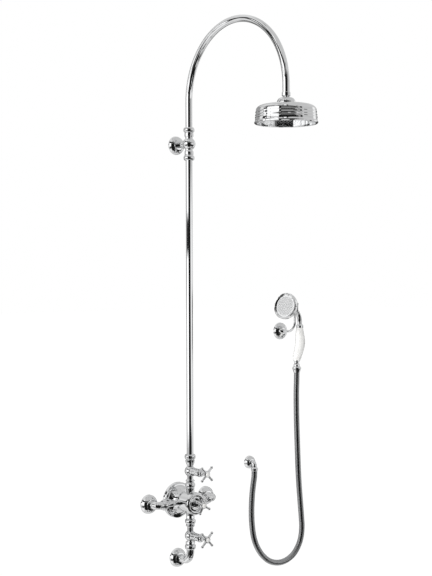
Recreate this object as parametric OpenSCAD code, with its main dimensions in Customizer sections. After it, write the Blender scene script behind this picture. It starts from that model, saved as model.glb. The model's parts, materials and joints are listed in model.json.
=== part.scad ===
// Exposed thermostatic shower column: riser, swan-neck arm and rain rose,
// with a separate hand shower on a wall hook.
//
// Frame: the wall is the plane Y = 0 and the room is on the -Y side. +Z is up.
// The origin is on the wall, behind the centre of the thermostatic valve.
// "Out" distances are measured from the wall into the room, along -Y.

/* [Tubes] */
// Outside diameter of the riser and of the arm
tube_d = 22; // [20:0.5:24]
// Wall thickness of the riser, arm and outlet tubes
tube_wall = 1.2; // [0.8:0.1:2]
// Distance from the wall to the centre of the riser
riser_out = 72; // [68:1:90]
// Reach of the arm, from the riser to the rose
arm_reach = 467; // [360:1:500]
// Rise of the top of the arm's centreline above the riser bracket
arm_rise = 374; // [340:1:500]

/* [Wall bracket] */
// Height of the centre of the riser bracket
bracket_h = 1184; // [900:1:1230]
// Diameter of the bracket's ball
bracket_ball_d = 42; // [40:1:50]
// Diameter of the round cover on the wall
bracket_cover_d = 61; // [56:1:70]

/* [Couplings] */
// Largest diameter of the beaded nuts on the column
nut_d = 36; // [34:1:40]
// Height of the bead on these nuts
nut_bead_h = 16; // [12:1:18]
// Diameter of the bare necks between the beads
neck_d = 25; // [24:0.5:27]
// Diameter of the waterways
water_d = 14; // [10:0.5:15]

/* [Thermostatic valve] */
// Diameter of the valve's barrel
barrel_d = 63; // [61:1:70]
// Out distance of the front end of the barrel
barrel_front = 98; // [96:1:110]
// Diameter of the bell that covers the wall
bell_d = 118; // [100:1:130]
// Diameter of the front ring
bezel_d = 74; // [72:1:80]
// Diameter of the opening of the front ring
bezel_hole_d = 50; // [48:1:52]
// Depth of the front ring
bezel_depth = 8; // [6:0.5:12]
// Diameter of the thermostatic cartridge
cartridge_d = 42; // [38:1:44]
// Height from the valve's centre to the end of its riser port
port_h = 42; // [40:1:46]

/* [Water inlets] */
// Distance between the centres of the hot and cold inlets
inlet_spacing = 240; // [200:1:260]
// Out distance of the inlet arms
inlet_out = 50; // [48:1:54]
// Diameter of the round covers over the inlets
inlet_cover_d = 62; // [56:1:66]
// Diameter of the inlet arms
inlet_arm_d = 17; // [16:0.5:20]
// Diameter of the threaded sockets that take the supply pipes
socket_d = 18.6; // [18:0.1:20]
// Depth of these sockets
socket_depth = 14; // [12:0.5:16]

/* [Stop valves] */
// Height of the upper stop valve, which feeds the rose
upper_valve_h = 104.5; // [100:0.5:120]
// Drop of the lower stop valve, which feeds the hand shower
lower_valve_h = 108.5; // [104:0.5:120]
// Diameter of the ball-shaped bodies
valve_ball_d = 36; // [34:1:40]
// Diameter of the bonnets
bonnet_d = 26; // [25:0.5:30]
// Distance from the riser's centre to the end of a bonnet
bonnet_end = 61; // [59:1:68]
// Diameter of the ceramic discs
disc_d = 17; // [15:0.5:18]
// Thickness of a ceramic disc
disc_t = 3; // [2:0.25:3.5]
// Diameter of the spindles
spindle_d = 9; // [8:0.5:9.5]

/* [Cross handles] */
// Distance from the centre of a handle to the end of each arm
handle_r = 33; // [26:1:38]
// Diameter of the ball tips
tip_d = 9.4; // [7:0.2:10]
// Diameter of a handle's hub
hub_d = 21; // [20:1:24]
// Diameter of the porcelain button in the hub
button_d = 15; // [12:0.5:16]
// Distance from a bonnet's end to the plane of its cross arms
handle_stand = 26; // [24:1:30]

/* [Rose] */
// Diameter of the rose at its lip
rose_d = 192; // [160:1:220]
// Drop of the bottom of the rose's lip below the top of the arm's centreline
rose_drop = 352; // [340:1:460]
// Height of the rose, from its lip to the foot of the swivel nut
rose_h = 64; // [60:1:75]
// Depth of the recess between the bottom of the lip and the spray plate
face_recess = 11; // [8:0.5:14]
// Thickness of the spun shell
rose_wall = 1.4; // [1:0.1:2]
// Number of rings of spray holes, besides the one in the middle
rose_rings = 8; // [5:1:9]
// Diameter of a spray hole
spray_d = 2.2; // [1.5:0.1:3]
// Diameter of the swivel ball
ball_d = 24; // [22:0.5:26]

/* [Outlet bend] */
// Radius of the bend's centreline
bend_r = 32; // [24:1:40]
// Diameter of the bell cover at the wall
bend_cover_d = 62; // [56:1:66]

/* [Hand shower hook] */
// Distance of the hook to the right of the riser
hook_x = 472; // [400:1:520]
// Height of the centre of the hook's wall cover
hook_h = 548; // [500:1:560]
// Diameter of the hook's wall cover
hook_cover_d = 60; // [54:1:66]
// Out distance of the middle of the fork
fork_out = 80; // [70:1:95]
// Height of the fork's middle above the centre of the wall cover
fork_rise = 79; // [70:1:95]
// Diameter of the hook's rod
rod_d = 8; // [6:0.5:10]
// Length of the prongs above the middle of the fork
prong_h = 23; // [16:1:28]

/* [Hand shower] */
// Angle that the hand shower is turned out from the wall
handset_turn = 10; // [0:1:20]
// Diameter of the head
head_d = 93; // [80:1:100]
// Depth of the head, from its rim to its neck
head_depth = 34; // [30:1:40]
// Angle that the face is tilted up
head_tilt = 12; // [5:1:16]
// Diameter of the spray face
face_d = 71; // [60:1:76]
// Diameter of the neck
handset_neck_d = 16; // [14:0.5:18]
// Radius of the bend in the neck
neck_bend = 52; // [45:1:60]
// Distance from the fork to the grip's centreline
grip_off = 29.5; // [26:0.5:34]
// Length of the porcelain grip
grip_l = 115; // [95:1:125]
// Largest diameter of the porcelain grip
grip_d = 35; // [30:1:38]

/* [Hose] */
// Diameter of the metal hose
hose_d = 20; // [16:0.5:21]
// Distance of the hose outlet to the right of the riser
hose_out_x = 322; // [280:1:360]
// Height of the hose outlet
hose_out_h = 92; // [60:1:140]
// Diameter of the hose outlet's elbow
hose_elbow_d = 17; // [16:0.5:19]
// Diameter of the cover of the hose outlet
hose_cover_d = 44; // [42:1:50]

/* [Fits] */
// Gap round a piece that is seated in another one
seat_gap = 0.3; // [0.2:0.05:0.4]
// Radial clearance of a turning spindle
run_gap = 0.05; // [0.02:0.01:0.09]
// Diameter of the wall screws' shanks
screw_d = 5; // [4:0.5:6]
// Distance between the two screws of a wall plate
screw_spacing = 34; // [30:1:36]

/* [Hidden] */
$fn = 64;

// Column of nuts and necks
neck_r = neck_d / 2;
water_r = water_d / 2;
tube_r = tube_d / 2;
nut_r = nut_d / 2;
flange_t = 3;
seal_t = 3;
stub_in = nut_bead_h - 2 * flange_t - seal_t;
flange_in = stub_in + seal_t;
spigot_r = 10.5;
spigot_l = 8;

// Heights on the column
riser_joint = upper_valve_h + 39.5;
bracket_joint = 38;
outlet_joint = lower_valve_h + 28.5;
riser_start = riser_joint + flange_in;
riser_end = bracket_h - bracket_joint - flange_in;
arm_start = bracket_h + bracket_joint + flange_in;
arm_r = arm_reach / 2;
arm_top = bracket_h + arm_rise;
arm_spring = arm_top - arm_r;
bend_start = outlet_joint + flange_in;
bend_straight = 14;
bend_drop = bend_start + bend_straight + bend_r;

// Rose and swivel
rose_r = rose_d / 2;
rose_bottom = arm_top - rose_drop;
rose_top = rose_bottom + rose_h;
ball_h = rose_top + 3;
ball_r = ball_d / 2;
stem_r = ball_r / 2;
stem_l = 16;
collar_r = tube_r + 2;
seat_t = 2.6;
seat_low = 2;
seat_high = 7.5;
cavity_r = ball_r + seat_t + run_gap;
cavity_high = 9.5;
arm_tip = ball_h + stem_l + 4;
lip_h = 9;
lip_t = 2.5;
plate_t = 2;
shell_r = rose_r - lip_t;
shell_in = shell_r - run_gap - rose_wall;
skirt = face_recess + plate_t + 1;
boss_r = ball_r + 5;

// Thermostat
barrel_r = barrel_d / 2;
rear_r = barrel_r - 4.5;
side_boss_r = 12;
bell_depth = inlet_out - side_boss_r - seat_gap;
barrel_rear = inlet_out - side_boss_r / 2;
cartridge_r = cartridge_d / 2;
bezel_hole_r = bezel_hole_d / 2;
cold_port = inlet_out + 28.5;
cartridge_back = inlet_out - 14;
chamber_back = cartridge_back + 4;
chamber_front = barrel_front - 8;
spindle_r = spindle_d / 2;
gland_end = barrel_front + 16;
spindle_l = 22;
shuttle_r = 11.4;
shuttle_back = chamber_back + 6;
shuttle_web = shuttle_back + 14;
shuttle_front = shuttle_web + 14;
pin_front = shuttle_front + 6;
spring_r = 7;
spring_wire = 1.2;

// Stop valves
valve_ball_r = valve_ball_d / 2;
bonnet_r = bonnet_d / 2;
disc_r = disc_d / 2;
disc_seat = 10;
moving_at = disc_seat + disc_t + run_gap;
flange_at = moving_at + disc_t;
chamber_end = flange_at + 6;
boss_end = chamber_end + 2;
tail_r = disc_r + run_gap + 1.8;
disc_port = 4.8;

// Handles
hub_r = hub_d / 2;
tip_r = tip_d / 2;
button_r = button_d / 2;

// Inlets
inlet_x = inlet_spacing / 2;
socket_r = socket_d / 2;
elbow_r = socket_r + 3.2;
elbow_bend = 16;
elbow_end = inlet_x - elbow_bend - 12;
inlet_arm_r = inlet_arm_d / 2;
side_boss = barrel_r + 8;
inlet_cover_depth = 22;

// Wall plates
plate_r = screw_spacing / 2 + 8;
plate_h = 4;
plate_boss = 12;
plate_bore = 6;

// Hook and hand shower
fork_h = hook_h + fork_rise;
rod_r = rod_d / 2;
prong_r = rod_r * 0.85;
neck2_r = handset_neck_d / 2;
hook_bend = 36;
neck_c = [grip_off - neck_bend, -sqrt(pow(neck_bend, 2) - pow(grip_off - neck_bend, 2))];
fork_reach = neck_bend - neck2_r - prong_r - run_gap;
fork_r = -neck_c[1] - sqrt(pow(fork_reach, 2) - pow(neck_bend - grip_off, 2)) + 0.0025 * pow(handset_turn, 2);
neck_straight = 16;
neck_in = neck_c + neck_bend * [sin(head_tilt), cos(head_tilt)];
head_back = neck_in - neck_straight * [cos(head_tilt), -sin(head_tilt)];
head_c = head_back - head_depth * [cos(head_tilt), -sin(head_tilt)];
head_r = head_d / 2;
face_r = face_d / 2;
collar_top = neck_c[1] - 6;
collar_h = 13;
grip_top = collar_top - collar_h;
grip_bottom = grip_top - grip_l;
grip_r = grip_d / 2;
grip_lean = 19;
grip_bow = 11;
foot_t = grip_off - grip_lean;
ferrule_h = 21;
hose_nut_h = 23;
handset_end = grip_bottom - ferrule_h - hose_nut_h;

// Hose and its outlet
hose_r = hose_d / 2;
hose_elbow_r = hose_elbow_d / 2;
hose_bore = 5;
handset_bore = 4.5;
grip_bore = 7;
stub_r = 7.5;
hose_out = 30;
hose_bend = 10;
hose_nut_top = hose_out_h - 14;
hose_nut_end = hose_nut_top - 14;
hose_start = [hook_x + foot_t * cos(handset_turn), -fork_out + foot_t * sin(handset_turn), fork_h + handset_end];
hose_finish = [hose_out_x, -hose_out, hose_nut_end];
hose_route = [
    [482.3, -78.2, 402], [481.4, -78.2, 370], [480.3, -78, 335], [480.1, -78, 298],
    [480.5, -78, 260], [481.3, -78, 222], [482.7, -78, 184], [484.6, -77.5, 146],
    [486.7, -77, 108], [489.2, -76, 70], [492.4, -75, 32], [496.2, -74, -6], [500.8, -73, -44],
    [506, -71.5, -82], [511, -70, -118], [514, -69, -151], [512, -67, -183],
    [503, -65, -212], [482, -62, -242], [452, -58, -261], [415, -54, -267],
    [377, -50, -257.5], [346, -46, -234], [323, -43, -202], [309.5, -40, -166],
    [304, -37.5, -126], [303.5, -35, -87], [306, -33, -50], [310.5, -31.5, -12],
    [316.5, -30.5, 20], [321, -30, 42], [322, -30, 64]
];

// Points of a quarter ellipse that bulges from a to b
function swell(a, b, n = 7) =
    [for (i = [0:n]) [b[0] + (a[0] - b[0]) * cos(90 * i / n), a[1] + (b[1] - a[1]) * sin(90 * i / n)]];

// Points of a quarter ellipse that is scooped out between a and b
function scoop(a, b, n = 7) =
    [for (i = [0:n]) [a[0] + (b[0] - a[0]) * sin(90 * i / n), b[1] + (a[1] - b[1]) * cos(90 * i / n)]];

// Points of a half-round bead on a neck of radius r0, from height z0 to z1
function bead_points(r0, r, z0, z1, n = 8) =
    [for (i = [0:n]) let(a = -90 + 180 * i / n)
        [r0 + (r - r0) * cos(a), (z0 + z1) / 2 + (z1 - z0) / 2 * sin(a)]];

function backwards(v) = [for (i = [len(v) - 1:-1:0]) v[i]];
function unit(v) = v / norm(v);
function circle_at(c, n, b, r, sides) =
    [for (j = [0:sides - 1]) c + r * (cos(360 * j / sides) * n + sin(360 * j / sides) * b)];
function rings_on(path, r, sides, ref) =
    [for (i = [0:len(path) - 1])
        let(t = unit(path[min(i + 1, len(path) - 1)] - path[max(i - 1, 0)]), n = unit(cross(ref, t)))
        circle_at(path[i], n, cross(t, n), r, sides)];

// Solid skin over rings of points, hollow if inner rings are given
module loft(outer, inner = []) {
    rings = len(outer);
    m = len(outer[0]);
    k = rings * m;
    flat_outer = [for (r = outer) for (p = r) p];
    flat_inner = [for (r = inner) for (p = r) p];
    function at(i, j) = i * m + (j + m) % m;
    sides = [for (i = [0:rings - 2]) for (j = [0:m - 1])
        each [[at(i, j), at(i + 1, j), at(i + 1, j + 1)], [at(i, j), at(i + 1, j + 1), at(i, j + 1)]]];
    inside = [for (i = [0:rings - 2]) for (j = [0:m - 1])
        each [[k + at(i, j), k + at(i + 1, j + 1), k + at(i + 1, j)],
              [k + at(i, j), k + at(i, j + 1), k + at(i + 1, j + 1)]]];
    e = rings - 1;
    rims = [for (j = [0:m - 1])
        each [[at(0, j), at(0, j + 1), k + at(0, j + 1)], [at(0, j), k + at(0, j + 1), k + at(0, j)],
              [at(e, j + 1), at(e, j), k + at(e, j)], [at(e, j + 1), k + at(e, j), k + at(e, j + 1)]]];
    caps = [[for (j = [0:m - 1]) at(0, j)], [for (j = [m - 1:-1:0]) at(e, j)]];
    if (len(inner) > 0)
        polyhedron(concat(flat_outer, flat_inner), concat(sides, inside, rims));
    else
        polyhedron(flat_outer, concat(sides, caps));
}

module turned(points) rotate_extrude() polygon(points);
module at_riser(h = 0) translate([0, -riser_out, h]) children();
module out_from(x = 0, h = 0) translate([x, 0, h]) rotate([90, 0, 0]) children();
module face_of(h) at_riser(h) rotate([90, 0, 0]) children();
module on_side() for (m = [0, 1]) mirror([m, 0, 0]) children();
module across() rotate([90, 0, 90]) children();
module ring(r_out, r_in, h) difference() {
    cylinder(r = r_out, h = h);
    translate([0, 0, -1]) cylinder(r = r_in, h = h + 2);
}

// Hollow round cover that lies on the wall, with a hole for what passes through it
module wall_cover(d, hole_r, depth, skin = 1.6) {
    edge = 2.4;
    turned(concat(
        [[d / 2 - skin, 0], [d / 2, 0]],
        swell([d / 2, edge], [hole_r + 2, depth]),
        [[hole_r, depth], [hole_r, depth - skin]],
        backwards(swell([d / 2 - skin, edge], [hole_r + 2, depth - skin]))
    ));
}

// Union nut from height 0, with a rounded bead outside and an inward lip at its far end
module union_nut(stub, tube, r, h) turned(concat(
    [[stub + run_gap, 0]],
    [for (p = bead_points(stub + 1.5, r, 0, h)) p],
    [[tube + run_gap, h], [tube + run_gap, h - flange_t], [stub + run_gap, h - flange_t]]
));

// Plate on the wall with a central bore and two screw holes
module wall_plate() difference() {
    union() {
        cylinder(r = plate_r, h = plate_h);
        cylinder(r = plate_bore + 4, h = plate_boss);
    }
    translate([0, 0, plate_h]) cylinder(r = plate_bore, h = plate_boss);
    for (s = [-1, 1]) translate([s * screw_spacing / 2, 0, -1]) cylinder(r = screw_d / 2 + 0.25, h = plate_h + 2);
}

// Cross handle from height 0: neck, hub, four arms with ball tips, seat for the button
module cross_handle() difference() {
    union() {
        turned([
            [0, 0.6], [8.5, 0.6], [8.5, 2.4], [6.6, 4.5], [6.2, 9], [6.2, handle_stand - 12],
            [hub_r - 1.6, handle_stand - 6.5], [hub_r, handle_stand - 4.5],
            [hub_r, handle_stand + 3.4], [hub_r - 1.4, handle_stand + 5], [0, handle_stand + 5]
        ]);
        for (a = [45:90:315]) rotate([0, 0, a]) translate([0, 0, handle_stand]) {
            translate([hub_r - 2, 0, 0]) rotate([0, 90, 0])
                cylinder(r1 = tip_r, r2 = tip_r * 0.62, h = handle_r - tip_r - hub_r + 2);
            translate([handle_r - tip_r, 0, 0]) sphere(r = tip_r);
        }
    }
    translate([0, 0, -1]) cylinder(r = spindle_r + run_gap, h = spindle_l + 1);
    translate([0, 0, handle_stand + 4]) cylinder(r = button_r + run_gap, h = 2);
}

module button() translate([0, 0, handle_stand + 4]) turned(concat(
    [[0, 0], [button_r, 0]], swell([button_r, 1.6], [0, 3.6])
));

// Body of a stop valve. Its tail starts at port_h and its valve axis is at height v.
module stopcock(v, joint, beads) difference() {
    union() {
        turned(concat(
            [[0, port_h - spigot_l], [spigot_r, port_h - spigot_l], [spigot_r, port_h]],
            beads,
            [[10.2, v - valve_ball_r + 4], [10.2, v + 18], [11, v + 20], [15, joint - 9], [15.4, joint - 3], [neck_r, joint - 1],
             [neck_r, joint + stub_in], [0, joint + stub_in]]
        ));
        translate([0, 0, v]) {
            sphere(r = valve_ball_r);
            rotate([90, 0, 0]) cylinder(r = bonnet_r, h = boss_end);
        }
    }
    translate([0, 0, port_h - spigot_l - 1]) cylinder(r = water_r, h = v - port_h + spigot_l + 1);
    translate([0, 0, v + 10]) cylinder(r = water_r, h = joint + stub_in - v);
    translate([0, 0, v]) rotate([90, 0, 0]) {
        cylinder(r = water_r, h = disc_seat + 1);
        translate([0, 0, disc_seat]) cylinder(r = tail_r + run_gap, h = boss_end);
    }
    translate([-3, -chamber_end + 0.2, v + 9]) cube([6, chamber_end, 2.4]);
}

module bonnet() difference() {
    turned([
        [disc_r + run_gap, disc_seat], [tail_r, disc_seat], [tail_r, boss_end], [bonnet_r - 0.4, boss_end],
        [bonnet_r - 0.4, boss_end + 12], [bonnet_r - 1.2, boss_end + 13.5], [bonnet_r - 1.2, bonnet_end - 15],
        [bonnet_r + 0.6, bonnet_end - 12], [bonnet_r + 0.6, bonnet_end - 6], [bonnet_r - 2.5, bonnet_end - 2.5],
        [9.5, bonnet_end], [spindle_r + run_gap, bonnet_end], [spindle_r + run_gap, chamber_end],
        [disc_r + run_gap, chamber_end]
    ]);
    translate([-2.5, disc_r - 1.5, flange_at + 2.6]) cube([5, 6, chamber_end - flange_at - 2.8]);
}

module valve_disc(turn) rotate([0, 0, turn]) difference() {
    cylinder(r = disc_r, h = disc_t);
    for (s = [-1, 1]) translate([s * disc_port, 0, -1]) cylinder(r = 2.4, h = disc_t + 2);
}

module valve_spindle() difference() {
    turned([
        [0, flange_at], [disc_r - 0.1, flange_at], [disc_r - 0.1, flange_at + 2.5], [6.2, flange_at + 2.5],
        [6.2, chamber_end - run_gap], [spindle_r, chamber_end - run_gap],
        [spindle_r, bonnet_end + spindle_l], [0, bonnet_end + spindle_l]
    ]);
    for (s = [-1, 1]) translate([s * disc_port, 0, flange_at - 1]) cylinder(r = 2.4, h = 3.6);
}

// Elbow of the left inlet, from the wall to the union
module wall_elbow() difference() {
    union() {
        out_from(-inlet_x) cylinder(r = elbow_r, h = inlet_out - elbow_bend);
        translate([-inlet_x + elbow_bend, -inlet_out + elbow_bend, 0])
            rotate_extrude(angle = 90, start = 180) translate([elbow_bend, 0]) circle(r = elbow_r);
        translate([-inlet_x + elbow_bend, -inlet_out, 0]) rotate([0, 90, 0])
            cylinder(r = elbow_r, h = inlet_x - elbow_bend - elbow_end);
    }
    out_from(-inlet_x) translate([0, 0, -1]) cylinder(r = socket_r, h = socket_depth + 1);
    out_from(-inlet_x) cylinder(r = water_r, h = inlet_out - elbow_bend);
    translate([-inlet_x + elbow_bend, -inlet_out + elbow_bend, 0])
        rotate_extrude(angle = 90, start = 180) translate([elbow_bend, 0]) circle(r = water_r);
    translate([-inlet_x + elbow_bend, -inlet_out, 0]) rotate([0, 90, 0])
        cylinder(r = water_r, h = inlet_x - elbow_bend - elbow_end + 1);
}

// Tube of the left inlet, from the union to the barrel
module inlet_arm() {
    start = elbow_end - seal_t;
    stop = side_boss - 6;
    translate([-start, -inlet_out, 0]) rotate([0, 90, 0]) turned([
        [5.5, 0], [elbow_r, 0], [elbow_r, flange_t], [inlet_arm_r, flange_t],
        [inlet_arm_r, start - stop], [5.5, start - stop]
    ]);
}

// ---- Thermostatic valve ----

module wall_bell() color("silver") out_from() turned(concat(
    [[bell_d / 2, 0], [bell_d / 2, 9], [bell_d / 2 - 1, 11.2]],
    scoop([bell_d / 2 - 4, 12.2], [rear_r + 2, bell_depth]),
    [[rear_r + run_gap, bell_depth]],
    backwards(scoop([bell_d / 2 - 4, 10.2], [rear_r + run_gap, bell_depth - 10])),
    [[bell_d / 2 - 2, 8.5], [bell_d / 2 - 2, 0]]
));

module thermostat_body() color("silver") difference() {
    union() {
        out_from() turned([
            [0, 14], [rear_r - 2, 14], [rear_r, 16], [rear_r, barrel_rear], [barrel_r - 2, barrel_rear + 2],
            [barrel_r, barrel_rear + 5], [barrel_r, barrel_front - 1.5], [barrel_r - 1.5, barrel_front], [0, barrel_front]
        ]);
        translate([-side_boss, -inlet_out, 0]) rotate([0, 90, 0]) cylinder(r = side_boss_r, h = 2 * side_boss);
        at_riser(-port_h) cylinder(r = 14, h = 2 * port_h);
    }
    out_from() {
        translate([0, 0, cartridge_back]) cylinder(r = cartridge_r + seat_gap, h = barrel_front);
        translate([0, 0, barrel_front - flange_t]) cylinder(r = bezel_hole_r + 3 + seat_gap, h = barrel_front);
    }
    translate([-side_boss, -inlet_out, 0]) rotate([0, 90, 0]) cylinder(r = water_r, h = 2 * side_boss);
    on_side() translate([-side_boss - 1, -inlet_out, 0]) rotate([0, 90, 0]) cylinder(r = inlet_arm_r + run_gap, h = 7);
    at_riser(-port_h) cylinder(r = water_r, h = 2 * port_h);
    at_riser() for (m = [0, 1]) mirror([0, 0, m]) translate([0, 0, port_h - spigot_l])
        cylinder(r = spigot_r + run_gap, h = spigot_l + 1);
}

module thermostat_bezel() color("silver") out_from() turned(concat(
    [[bezel_hole_r, barrel_front], [barrel_r + run_gap, barrel_front], [barrel_r + run_gap, barrel_front - 11],
     [bezel_d / 2 - 2, barrel_front - 11], [bezel_d / 2, barrel_front - 9]],
    swell([bezel_d / 2, barrel_front + 1], [bezel_hole_r + 3.5, barrel_front + bezel_depth]),
    [[bezel_hole_r + 1.5, barrel_front + bezel_depth - 0.5], [bezel_hole_r, barrel_front + bezel_depth - 3]]
));

// Graduated ring round the thermostat's gland
module temperature_scale() color("silver") out_from() translate([0, 0, barrel_front]) difference() {
    turned([
        [spindle_r + 7, 0], [bezel_hole_r - run_gap, 0], [bezel_hole_r - run_gap, 2.2], [bezel_hole_r - 6, 3.4],
        [spindle_r + 8.5, 2], [spindle_r + 7, 2]
    ]);
    for (a = [-110:20:110]) rotate([0, 0, 90 + a]) translate([bezel_hole_r - 5, -0.5, 1.6]) cube([4, 1, 3]);
}

module thermostatic_cartridge() color("goldenrod") out_from() difference() {
    turned([
        [0, cartridge_back], [cartridge_r, cartridge_back], [cartridge_r, inlet_out - 4],
        [cartridge_r - 3, inlet_out - 3], [cartridge_r - 3, inlet_out + 3], [cartridge_r, inlet_out + 4],
        [cartridge_r, cold_port - 16.5], [cartridge_r - 4, cold_port - 14.5], [cartridge_r - 4, cold_port + 3.5],
        [cartridge_r, cold_port + 5.5], [cartridge_r, barrel_front - flange_t],
        [bezel_hole_r + 3, barrel_front - flange_t], [bezel_hole_r + 3, barrel_front],
        [spindle_r + 6.5, barrel_front], [spindle_r + 6.5, gland_end - 1], [spindle_r + 5.5, gland_end], [0, gland_end]
    ]);
    translate([0, 0, chamber_back]) cylinder(r = shuttle_r + run_gap, h = chamber_front - chamber_back);
    cylinder(r = spindle_r + run_gap, h = gland_end + 1);
    translate([-cartridge_r - 1, 0, inlet_out]) rotate([0, 90, 0]) cylinder(r = 2.6, h = 2 * cartridge_r + 2);
    translate([0, -cartridge_r, cold_port]) rotate([-90, 0, 0]) cylinder(r = 3.2, h = 2 * cartridge_r);
}

module thermostat_shuttle() color("khaki") out_from() difference() {
    turned([
        [8.5, shuttle_back], [shuttle_r, shuttle_back], [shuttle_r, inlet_out - 2.6], [9.8, inlet_out - 2.4],
        [9.8, inlet_out + 2.4], [shuttle_r, inlet_out + 2.6],
        [shuttle_r, shuttle_front], [4, shuttle_front], [4, pin_front], [0, pin_front], [0, shuttle_web],
        [8.5, shuttle_web]
    ]);
    for (a = [0:90:270]) rotate([0, 0, a]) translate([6.8, 0, shuttle_web - 1]) cylinder(r = 1.8, h = 20);
    translate([0, 0, inlet_out]) rotate([0, 90, 0]) cylinder(r = 2, h = 30, center = true);
}

module return_spring() color("dimgray") out_from() {
    low = chamber_back + spring_wire / 2 + 0.5;
    high = shuttle_web - spring_wire / 2;
    turns = 5;
    steps = turns * 12;
    loft(rings_on([for (i = [0:steps]) [spring_r * cos(30 * i), spring_r * sin(30 * i), low + (high - low) * i / steps]],
        spring_wire / 2, 6, [0, 0, 1]));
}

module thermostat_spindle() color("goldenrod") out_from() turned([
    [0, pin_front + 0.7], [3, pin_front + 0.7], [3, chamber_front - 4], [8, chamber_front - 4],
    [8, chamber_front - run_gap],
    [spindle_r, chamber_front - run_gap], [spindle_r, gland_end + spindle_l], [0, gland_end + spindle_l]
]);

module thermostat_handle() color("silver") out_from() translate([0, 0, gland_end]) rotate([0, 0, 16]) cross_handle();
module thermostat_handle_button() color("white") out_from() translate([0, 0, gland_end]) button();

// ---- Water inlets ----

module hot_wall_elbow() color("silver") wall_elbow();
module cold_wall_elbow() color("silver") mirror([1, 0, 0]) wall_elbow();
module inlet_covers() color("silver") on_side() out_from(-inlet_x)
    wall_cover(inlet_cover_d, elbow_r + run_gap, inlet_cover_depth);
module inlet_union_nuts() color("silver") on_side() translate([-elbow_end - stub_in, -inlet_out, 0])
    rotate([0, 90, 0]) union_nut(elbow_r, inlet_arm_r, elbow_r + 5, nut_bead_h);
module hot_inlet_arm() color("silver") inlet_arm();
module cold_inlet_arm() color("silver") mirror([1, 0, 0]) inlet_arm();
module check_valves() color("ivory") on_side() translate([-elbow_end - 10, -inlet_out, 0]) rotate([0, 90, 0])
    difference() {
        cylinder(r = water_r - run_gap, h = 10);
        translate([0, 0, -1]) cylinder(r = 4.5, h = 5);
        translate([0, 0, 6]) cylinder(r = 4.5, h = 5);
        for (a = [0:90:270]) rotate([0, 0, a]) translate([2.5, 0, 3]) cylinder(r = 1.1, h = 4);
    }

// ---- Stop valves ----

upper_beads = concat([[13.5, port_h], [14, port_h + 6]], bead_points(11.5, 16.5, port_h + 8, port_h + 25),
                     [[11, port_h + 26], [14.6, port_h + 29], [14.6, port_h + 32.5], [10.2, port_h + 35.5]]);
lower_beads = concat([[13.5, port_h], [14, port_h + 8], [12.5, port_h + 9.5]], bead_points(12.5, 17.5, port_h + 11, port_h + 27),
                     [[12, port_h + 28], [14.4, port_h + 30], [14.4, port_h + 34.5], [10.2, port_h + 38]]);

module upper_stopcock_body() color("silver") at_riser() stopcock(upper_valve_h, riser_joint, upper_beads);
module lower_stopcock_body() color("silver") at_riser() mirror([0, 0, 1]) stopcock(lower_valve_h, outlet_joint, lower_beads);
module upper_bonnet() color("silver") face_of(upper_valve_h) bonnet();
module lower_bonnet() color("silver") mirror([0, 0, 1]) face_of(lower_valve_h) bonnet();
module fixed_ceramic_discs() color("whitesmoke") for (h = [upper_valve_h, -lower_valve_h])
    face_of(h) translate([0, 0, disc_seat]) valve_disc(90);
module upper_moving_disc() color("gray") face_of(upper_valve_h) translate([0, 0, moving_at]) valve_disc(0);
module lower_moving_disc() color("gray") face_of(-lower_valve_h) translate([0, 0, moving_at]) valve_disc(0);
module upper_spindle() color("goldenrod") face_of(upper_valve_h) valve_spindle();
module lower_spindle() color("goldenrod") face_of(-lower_valve_h) valve_spindle();
module upper_handle() color("silver") face_of(upper_valve_h) translate([0, 0, bonnet_end]) cross_handle();
module lower_handle() color("silver") face_of(-lower_valve_h) translate([0, 0, bonnet_end]) cross_handle();
module upper_handle_button() color("white") face_of(upper_valve_h) translate([0, 0, bonnet_end]) button();
module lower_handle_button() color("white") face_of(-lower_valve_h) translate([0, 0, bonnet_end]) button();

// ---- Riser, bracket and arm ----

module riser_nut() color("silver") at_riser(riser_joint) union_nut(neck_r, tube_r, nut_r, nut_bead_h);

module riser_tube() color("silver") at_riser() turned([
    [tube_r - tube_wall, riser_start], [neck_r, riser_start], [neck_r, riser_start + flange_t],
    [tube_r, riser_start + flange_t], [tube_r, riser_end - flange_t], [neck_r, riser_end - flange_t],
    [neck_r, riser_end], [tube_r - tube_wall, riser_end]
]);

module bracket_body() color("silver") difference() {
    union() {
        at_riser(bracket_h) {
            sphere(r = bracket_ball_d / 2);
            for (m = [0, 1]) mirror([0, 0, m]) turned([
                [0, -1], [12, -1], [12, bracket_joint - 17], [14.6, bracket_joint - 12], [14.6, bracket_joint - 3],
                [neck_r, bracket_joint - 1], [neck_r, bracket_joint + stub_in], [0, bracket_joint + stub_in]
            ]);
        }
        out_from(0, bracket_h) turned([
            [0, plate_h], [plate_bore - run_gap, plate_h], [plate_bore - run_gap, plate_boss], [9, plate_boss],
            [9, 22], [9.6, 30], [12.5, 40], [12.5, riser_out], [0, riser_out]
        ]);
    }
    at_riser(bracket_h - bracket_joint - stub_in - 1) cylinder(r = water_r, h = 2 * (bracket_joint + stub_in + 1));
}

module bracket_nuts() color("silver") at_riser(bracket_h) for (m = [0, 1]) mirror([0, 0, m])
    translate([0, 0, bracket_joint]) union_nut(neck_r, tube_r, nut_r, nut_bead_h);

module bracket_cover() color("silver") out_from(0, bracket_h) wall_cover(bracket_cover_d, 9 + run_gap, 19);

module wall_plates() color("lightgray") {
    out_from(0, bracket_h) wall_plate();
    out_from(hook_x, hook_h) wall_plate();
}

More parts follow.
